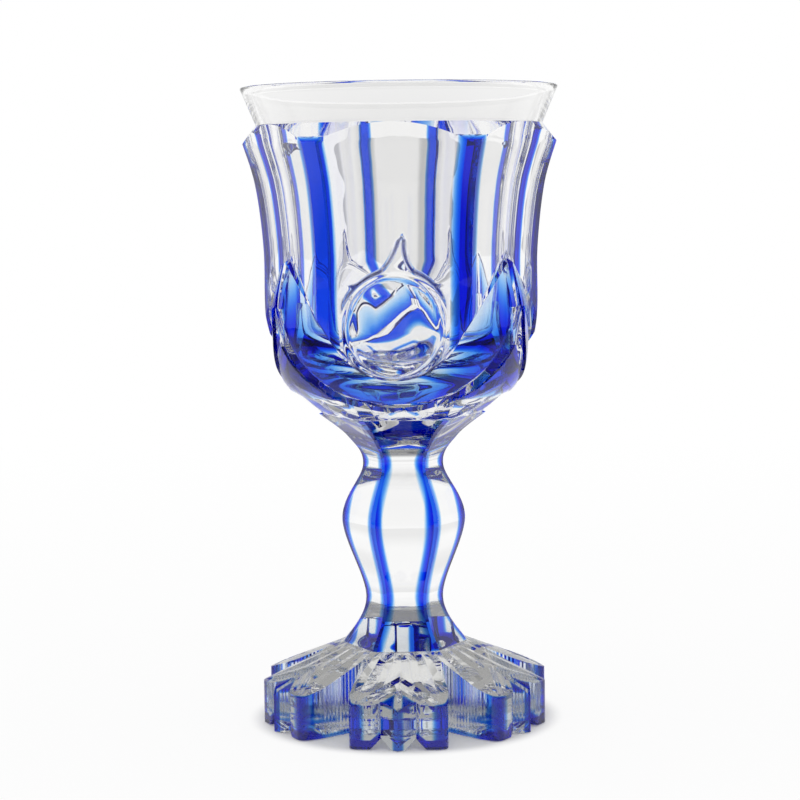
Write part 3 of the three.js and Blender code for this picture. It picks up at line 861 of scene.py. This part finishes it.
# Blue ribs of the bowl
# Strips of casing left between the panels, from the chamfered shoulder down to the swags. The panels cut them
# at a slant, so that they thin out at both sides.
bowl_rib_steps, bowl_rib_rows, rib_rounds = 7, 110, 4
rib_foot_gap = 0.00005
rib_share = np.linspace(0, 1, bowl_rib_rows)[:, None]
under = np.arange(4 * bowl_rib_steps) >= 3 * bowl_rib_steps
for rib in range(6):
    height = swag_mitre + (shoulder_height - swag_mitre) * rib_share
    for _ in range(rib_rounds):
        blank = blank_radius(height[:, :1])
        clear_edge = np.arccos(panel_share * blank / (blank - casing))
        rib_angle = rib_loop(clear_edge, np.arccos(panel_share), bowl_rib_steps)
        face = blank_radius(height) * np.minimum(panel_share / np.cos(within(rib_angle, sixth)), 1)
        radius = np.where(under, blank_radius(height) - casing + casing_gap, face)
        low = swag_upper_line(rib_angle[:1] + rib * sixth, ramp + rib_foot_gap)
        top = shoulder_height + (shoulder_radius - radius[-1:]) / chamfer_fall
        height = low + (top - low) * rib_share
    points = standing(rib_angle + rib * sixth, radius, height)
    ring_piece(f"bowl_rib_{rib + 1}", points, under, [False, False], cobalt)

# Blue swags and spandrels
# Bands of casing that hang under the medallions and meet in points, and the fillets left below where two of
# them meet. The swags are scooped, so that their blue thins out upwards, and mitre grooves part them.
swag_edge = 0.00007
swag_thickness = 0.00100
swag_fade = 1.7
spandrel_edge_share, spandrel_edge_slope = 0.1, 3
least_spandrel = 0.0005
casing_rows, swag_columns, spandrel_columns = 21, 180, 90


def swag_casing(share):
    """Thickness of a swag: it grows with a power of the share from the upper edge (0) to the lower (1)."""
    return swag_edge + (swag_thickness - swag_edge) * share ** swag_fade


def spandrel_casing(share):
    """Thickness of a spandrel: full, but thinned in a straight line towards its lower edge."""
    return swag_thickness * np.minimum(1, spandrel_edge_share + spandrel_edge_slope * (1 - share))


def band_piece(node, angle, low, high, thickness, bed):
    """A piece of casing between two lines round the bowl. thickness and bed are the depth of the casing and
    that of its clear bed, as functions of the share from the upper line (0) to the lower one (1)."""
    down = np.linspace(1, 0, casing_rows)
    share = np.concatenate([down, down[::-1]])
    height = high[:, None] + (low - high)[:, None] * share
    back = np.arange(2 * casing_rows) >= casing_rows
    depth = casing + bed(share) - np.where(back, casing_gap, thickness(share))
    points = standing(angle[:, None], blank_radius(height) - depth, height)
    ring_piece(node, points, back & np.roll(back, -1), [False, False], cobalt, -1)


half_swag = third / 2 - horn_end
swag_angle = np.linspace(-half_swag, half_swag, swag_columns)
swag_lower, swag_upper = swag_lower_line(swag_angle, groove), swag_upper_line(swag_angle, 0)
spandrel_angle = np.linspace(spandrel_start, spandrel_end, spandrel_columns)
spandrel_low = np.full(spandrel_angle.shape, spandrel_bottom)
spandrel_high = np.maximum(swag_lower_line(spandrel_angle, -groove), spandrel_low + least_spandrel)
for k in range(3):
    band_piece(f"bowl_swag_{k + 1}", swag_angle + k * third, swag_lower, swag_upper, swag_casing, scooped)
    band_piece(f"bowl_spandrel_{k + 1}", spandrel_angle + k * third, spandrel_low, spandrel_high,
               spandrel_casing, np.zeros_like)

# Camera
# Where the photograph was taken from: a little above the middle of the bowl, a few degrees to the right.
camera_distance = 0.560
camera_height = 0.1432
camera_turn = np.radians(3.3)
camera_pitch = np.radians(6.05)
camera_roll = np.radians(0.7)
camera_aside = -0.0006
focal_pixels = 2156.0
image_pixels = 800.0
camera_data = bpy.data.cameras.new("camera")
camera_data.sensor_width = 36.0
camera_data.lens = focal_pixels / image_pixels * camera_data.sensor_width
camera = bpy.data.objects.new("camera", camera_data)
scene.collection.objects.link(camera)
camera.rotation_mode = "XYZ"
camera.location = (
    camera_distance * np.sin(camera_turn) + camera_aside * np.cos(camera_turn),
    -camera_distance * np.cos(camera_turn) + camera_aside * np.sin(camera_turn), camera_height)
camera.rotation_euler = (np.pi / 2 - camera_pitch, 0, camera_turn)
camera.rotation_euler.rotate_axis("Z", -camera_roll)
scene.camera = camera

# Floor
# A plain pale table that runs out to the backdrop. Seen plainly or in the glass it glows white, apart from
# the shadow round the foot. Its near part is darker in the glass, most of all where the glass reflects it.
floor_half = 3.0
paper_white = (0.93, 0.93, 0.93, 1)
shadow_start, shadow_end, shadow_white = 0.036, 0.042, 0.2
table_start, table_end, table_white = 0.05, 0.6, 0.90
near_start, near_end = -0.35, -0.06
near_white, near_reflected_white = 0.75, 0.15


def map_range(tree, value, start, end, low, high, interpolation="LINEAR"):
    """A value between start and end carried over to the range from low to high, and held at both ends."""
    ends = {"Value": value, "From Min": start, "From Max": end, "To Min": low, "To Max": high}
    return add_node(tree, "MapRange", ends, interpolation_type=interpolation)["Result"]


corners = floor_half * np.array([(-1, -1, 0), (1, -1, 0), (1, 1, 0), (-1, 1, 0)])
floor_mesh = bpy.data.meshes.new("floor")
floor_mesh.from_pydata(corners, [], [(0, 1, 2, 3)])
floor = bpy.data.objects.new("floor", floor_mesh)
scene.collection.objects.link(floor)
floor_paper = bpy.data.materials.new("floor_paper")
floor_paper.use_nodes = True
tree = floor_paper.node_tree
paper = tree.nodes["Principled BSDF"]
set_inputs(paper, {"Base Color": paper_white, "Roughness": 0.9, "Specular IOR Level": 0.1})
path = add_node(tree, "LightPath", {})
place = add_node(tree, "TexCoord", {})["Object"]
distance = add_node(tree, "VectorMath", {0: place}, operation="LENGTH")["Value"]
split_place = add_node(tree, "SeparateXYZ", {"Vector": place})
outside_shadow = map_range(tree, distance, shadow_start, shadow_end, shadow_white, 1.0, "SMOOTHSTEP")
far_table = map_range(tree, distance, table_start, table_end, table_white, 1.0)
seen = math_node(tree, "MAXIMUM", path["Is Camera Ray"], path["Is Glossy Ray"])
seen = math_node(tree, "MAXIMUM", seen, path["Is Transmission Ray"])
whitened = math_node(tree, "MULTIPLY", seen, math_node(tree, "MULTIPLY", outside_shadow, far_table))
reflected = math_node(tree, "SUBTRACT", path["Is Glossy Ray"], path["Is Transmission Ray"])
near_tone = map_range(tree, reflected, 0.0, 1.0, near_white, near_reflected_white)
near_side = map_range(tree, split_place["Y"], near_start, near_end, near_tone, 1.0)
glow = map_range(tree, path["Is Camera Ray"], 0.0, 1.0, near_side, 1.0)
white = add_node(tree, "Emission", {"Strength": glow})
table = add_node(tree, "MixShader", {"Fac": whitened, 1: paper.outputs["BSDF"], 2: white["Emission"]})
set_inputs(tree.nodes["Material Output"], {"Surface": table["Shader"]})
floor_mesh.materials.append(floor_paper)

# Studio light
# A white tent with darker seams every eighth turn, a greyer roof and a greyer band at eye level, so that cut
# edges show dark and light. Its front is darker, most of all where glass reflects it. The camera itself sees
# plain white behind the glass.
seams, seam_grey, tent_white = 8.0, 0.62, 1.0
seam_start, seam_end = -0.97, -0.55
roof_start, roof_end, roof_grey = 0.28, 0.62, 0.34
level_start, level_end, level_grey = 0.06, 0.16, 0.86
front_start, front_end, front_grey, reflection_loss = -1.0, 0.2, 0.70, 0.55
diffuse_white = 0.9
world = bpy.data.worlds.new("studio")
scene.world = world
world.use_nodes = True
tree = world.node_tree
path = add_node(tree, "LightPath", {})
aim = add_node(tree, "SeparateXYZ", {"Vector": add_node(tree, "TexCoord", {})["Generated"]})
bearing = math_node(tree, "ARCTAN2", aim["X"], aim["Y"])
bearing = math_node(tree, "ADD", bearing, camera_turn)
seam_wave = math_node(tree, "COSINE", math_node(tree, "MULTIPLY", bearing, seams))
tent = map_range(tree, seam_wave, seam_start, seam_end, seam_grey, tent_white, "SMOOTHSTEP")
roof = map_range(tree, aim["Z"], roof_start, roof_end, 1.0, roof_grey)
level = map_range(tree, aim["Z"], level_start, level_end, level_grey, 1.0)
reflected = math_node(tree, "SUBTRACT", path["Is Glossy Ray"], path["Is Transmission Ray"])
front_tone = math_node(tree, "SUBTRACT", front_grey, math_node(tree, "MULTIPLY", reflected, reflection_loss))
front = map_range(tree, aim["Y"], front_start, front_end, front_tone, 1.0)
tone = tent
for darker in (roof, level, front):
    tone = math_node(tree, "MULTIPLY", tone, darker)
tone = math_node(tree, "MAXIMUM", tone, path["Is Camera Ray"])
tone = math_node(tree, "MAXIMUM", tone, math_node(tree, "MULTIPLY", path["Is Diffuse Ray"], diffuse_white))
set_inputs(tree.nodes["Background"], {"Color": (1, 1, 1, 1), "Strength": tone})
scene.cycles.max_bounces = 32
scene.cycles.transmission_bounces = 32
scene.cycles.glossy_bounces = 16
scene.cycles.transparent_max_bounces = 48
scene.view_settings.view_transform = "Standard"
